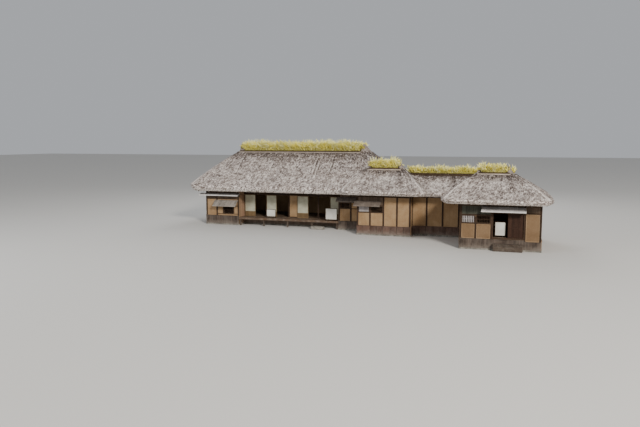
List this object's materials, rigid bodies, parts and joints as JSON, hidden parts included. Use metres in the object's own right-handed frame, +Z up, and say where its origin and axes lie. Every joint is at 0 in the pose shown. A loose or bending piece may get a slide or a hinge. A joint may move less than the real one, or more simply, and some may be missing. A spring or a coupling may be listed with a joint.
{
  "type": "thatched farmhouse",
  "caption": "Long thatched Japanese farmhouse with planted ridges, ochre plaster, an open veranda, a projecting wing, a low link and a forward room.",
  "frame": {"origin": "centre of the whole footprint box, at the underside of the stone footing", "axes": "+X to the right along the fronts, +Y to the back, +Z up"},
  "size_m": [27.3, 12.83, 6.8947],
  "materials": {
    "thatch": "weathered grey-brown reed thatch, rough",
    "ridge_turf": "turf with short yellow-green blades",
    "ochre_plaster": "matte ochre earth plaster",
    "dark_timber": "dark stained timber, matte",
    "red_brown_boards": "red-brown upright boards, matte",
    "brown_boards": "dark brown door boards, matte",
    "shoji_paper": "off-white paper on a wooden lattice, in shade",
    "weathered_boards": "silver-grey weathered boards",
    "grey_stone": "rough grey stone",
    "screen_face": "bare white face in a brown frame",
    "floor_boards": "worn brown floor boards"
  },
  "bodies": {
    "house": {"doorway_screen": "screen_face", "link_front_wall": "ochre_plaster", "link_ridge_turf": "ridge_turf", "link_thatch": "thatch", "main_floor": "floor_boards", "main_left_front": "ochre_plaster", "main_left_upper_pent": "weathered_boards", "main_left_window_pent": "weathered_boards", "main_outer_walls": "ochre_plaster", "main_ridge_turf": "ridge_turf", "main_right_front": "ochre_plaster", "main_right_pent": "weathered_boards", "main_thatch": "thatch", "range_back_wall": "ochre_plaster", "room_floor": "floor_boards", "room_front": "ochre_plaster", "room_pent": "weathered_boards", "room_ridge_turf": "ridge_turf", "room_step": "floor_boards", "room_thatch": "thatch", "stone_footing": "grey_stone", "veranda_deck": "floor_boards", "veranda_footing": "grey_stone", "veranda_left_side_boards": "red_brown_boards", "veranda_plastered_bay": "ochre_plaster", "veranda_post_left": "dark_timber", "veranda_post_middle": "dark_timber", "veranda_post_right": "dark_timber", "veranda_right_side_boards": "red_brown_boards", "veranda_screen_left": "screen_face", "veranda_screen_right": "screen_face", "veranda_sill": "dark_timber", "veranda_step_stone": "grey_stone", "veranda_wall": "dark_timber", "wing_front_plaster": "ochre_plaster", "wing_front_timber": "dark_timber", "wing_left_wall": "ochre_plaster", "wing_pent": "weathered_boards", "wing_ridge_turf": "ridge_turf", "wing_thatch": "thatch"},
    "shoji_far_left_leaf": {"shoji_far_left": "shoji_paper"},
    "shoji_left_leaf": {"shoji_left": "shoji_paper"},
    "shoji_middle_leaf": {"shoji_middle": "shoji_paper"},
    "shoji_right_leaf": {"shoji_right": "shoji_paper"},
    "room_door_front_leaf": {"room_door_front": "brown_boards"},
    "room_door_rear_leaf": {"room_door_rear": "brown_boards"}
  },
  "joints": [
    {"name": "shoji_far_left_slide", "type": "slide", "parent": "house", "child": "shoji_far_left_leaf", "axis": [1, 0, 0], "range_m": [0, 0.9]},
    {"name": "shoji_left_slide", "type": "slide", "parent": "house", "child": "shoji_left_leaf", "axis": [1, 0, 0], "range_m": [-0.95, 0.95]},
    {"name": "shoji_middle_slide", "type": "slide", "parent": "house", "child": "shoji_middle_leaf", "axis": [1, 0, 0], "range_m": [-0.65, 0.93]},
    {"name": "shoji_right_slide", "type": "slide", "parent": "house", "child": "shoji_right_leaf", "axis": [1, 0, 0], "range_m": [-0.93, 0]},
    {"name": "room_door_front_slide", "type": "slide", "parent": "house", "child": "room_door_front_leaf", "axis": [1, 0, 0], "range_m": [-0.86, 0]},
    {"name": "room_door_rear_slide", "type": "slide", "parent": "house", "child": "room_door_rear_leaf", "axis": [1, 0, 0], "range_m": [-0.855, 0]}
  ]
}
